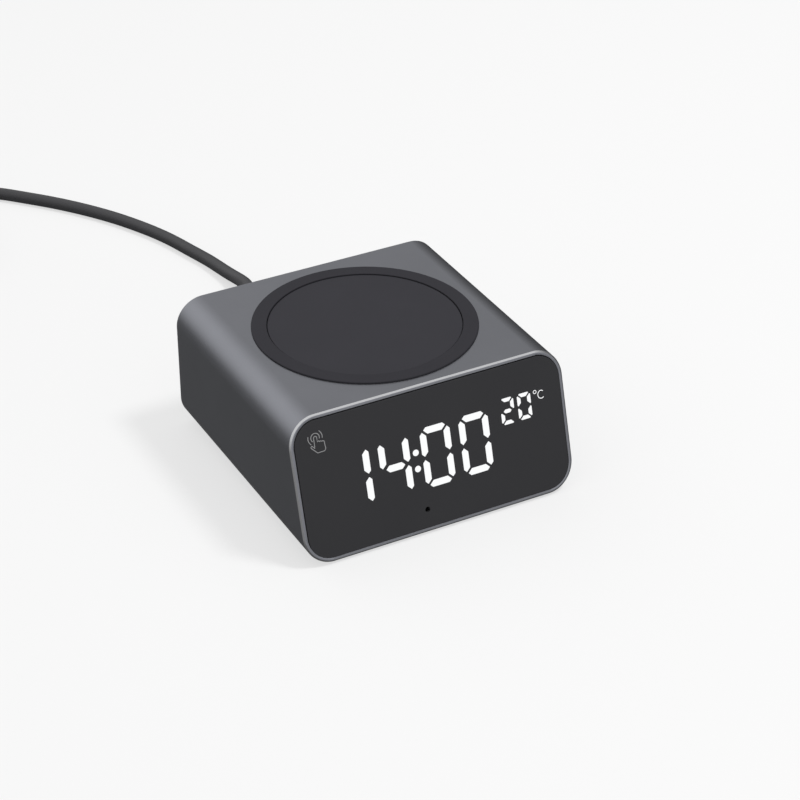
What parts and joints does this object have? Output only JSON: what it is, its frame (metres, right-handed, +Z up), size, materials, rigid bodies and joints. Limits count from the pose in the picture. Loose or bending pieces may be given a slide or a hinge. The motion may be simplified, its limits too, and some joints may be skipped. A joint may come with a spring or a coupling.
{
  "type": "bedside alarm clock with wireless charging pad",
  "caption": "Low rectangular bedside alarm clock with a leaning digital display, a round magnetic charging pad on top and a coiled power lead.",
  "frame": {"origin": "on the table under the middle of the clock, its lead not counted", "axes": "+Z up, +X to the right along the display, which faces -Y; the rear panel faces +Y"},
  "size_m": [0.1647, 0.2585, 0.0426],
  "materials": {
    "anodised_aluminium": "bead-blasted anodised, space grey, with bright cut front edge",
    "smoked_lens": "smoked acrylic with a fine anti-glare face",
    "silicone_ring": "matt silicone",
    "silicone_disc": "soft-touch silicone",
    "base_rubber": "matt rubber",
    "foam": "closed-cell foam",
    "diffuser_film": "satin film",
    "white_plastic": "satin moulded",
    "circuit_board": "solder-masked laminate",
    "copper": "enamelled wire",
    "chip_black": "moulded epoxy",
    "black_plastic": "fine spark-eroded texture",
    "button_plastic": "satin",
    "steel": "plated",
    "nickel": "nickel plated",
    "ferrite": "sintered",
    "cable_jacket": "matt elastomer",
    "tie_fabric": "hook-and-loop strap"
  },
  "bodies": {
    "clock": {"ballast": "steel", "base_pad": "base_rubber", "board_screw_1": "steel", "board_screw_2": "steel", "board_screw_3": "steel", "board_screw_4": "steel", "buzzer": "chip_black", "carrier": "black_plastic", "cell_holder": "black_plastic", "charge_coil": "copper", "charge_tray": "black_plastic", "charger_board": "circuit_board", "charger_choke": "chip_black", "charger_shield": "steel", "coin_cell": "steel", "controller_chip": "chip_black", "cord_coil": "cable_jacket", "cord_run": "cable_jacket", "cord_tail": "cable_jacket", "cord_tie": "tie_fabric", "cover_screw_1": "steel", "cover_screw_2": "steel", "diffuser": "diffuser_film", "display_board": "circuit_board", "ferrite_sheet": "ferrite", "housing": "anodised_aluminium", "lens": "smoked_lens", "lens_gasket": "foam", "light_guide": "white_plastic", "light_sensor": "chip_black", "magnet_ring": "nickel", "main_board": "circuit_board", "pad_disc": "silicone_disc", "pad_ring": "silicone_ring", "rear_cover": "black_plastic", "ribbon_cable": "diffuser_film", "slide_switch": "steel", "tact_alarm": "black_plastic", "tact_down": "black_plastic", "tact_set": "black_plastic", "tact_up": "black_plastic", "thermistor": "chip_black", "timing_crystal": "nickel", "touch_electrode": "copper", "usb_a_grip": "cable_jacket", "usb_a_relief": "cable_jacket", "usb_a_shell": "nickel", "usb_c_grip": "cable_jacket", "usb_c_relief": "cable_jacket", "usb_c_shell": "nickel", "usb_socket": "steel"},
    "set_button": {"button_set": "button_plastic", "plunger_set": "steel"},
    "alarm_button": {"button_alarm": "button_plastic", "plunger_alarm": "steel"},
    "up_button": {"button_up": "button_plastic", "plunger_up": "steel"},
    "down_button": {"button_down": "button_plastic", "plunger_down": "steel"},
    "alarm_slider": {"slide_knob": "button_plastic"}
  },
  "joints": [
    {"name": "set_button_press", "type": "slide", "parent": "clock", "child": "set_button", "axis": [0, -1, 0], "range_m": [0, 0.0005], "stiffness_N_per_m": 1200, "springref_m": -0.0002},
    {"name": "alarm_button_press", "type": "slide", "parent": "clock", "child": "alarm_button", "axis": [0, -1, 0], "range_m": [0, 0.0005], "stiffness_N_per_m": 1200, "springref_m": -0.0002},
    {"name": "up_button_press", "type": "slide", "parent": "clock", "child": "up_button", "axis": [0, -1, 0], "range_m": [0, 0.0005], "stiffness_N_per_m": 1200, "springref_m": -0.0002},
    {"name": "down_button_press", "type": "slide", "parent": "clock", "child": "down_button", "axis": [0, -1, 0], "range_m": [0, 0.0005], "stiffness_N_per_m": 1200, "springref_m": -0.0002},
    {"name": "alarm_slider_throw", "type": "slide", "parent": "clock", "child": "alarm_slider", "axis": [1, 0, 0], "range_m": [0, 0.003]}
  ]
}
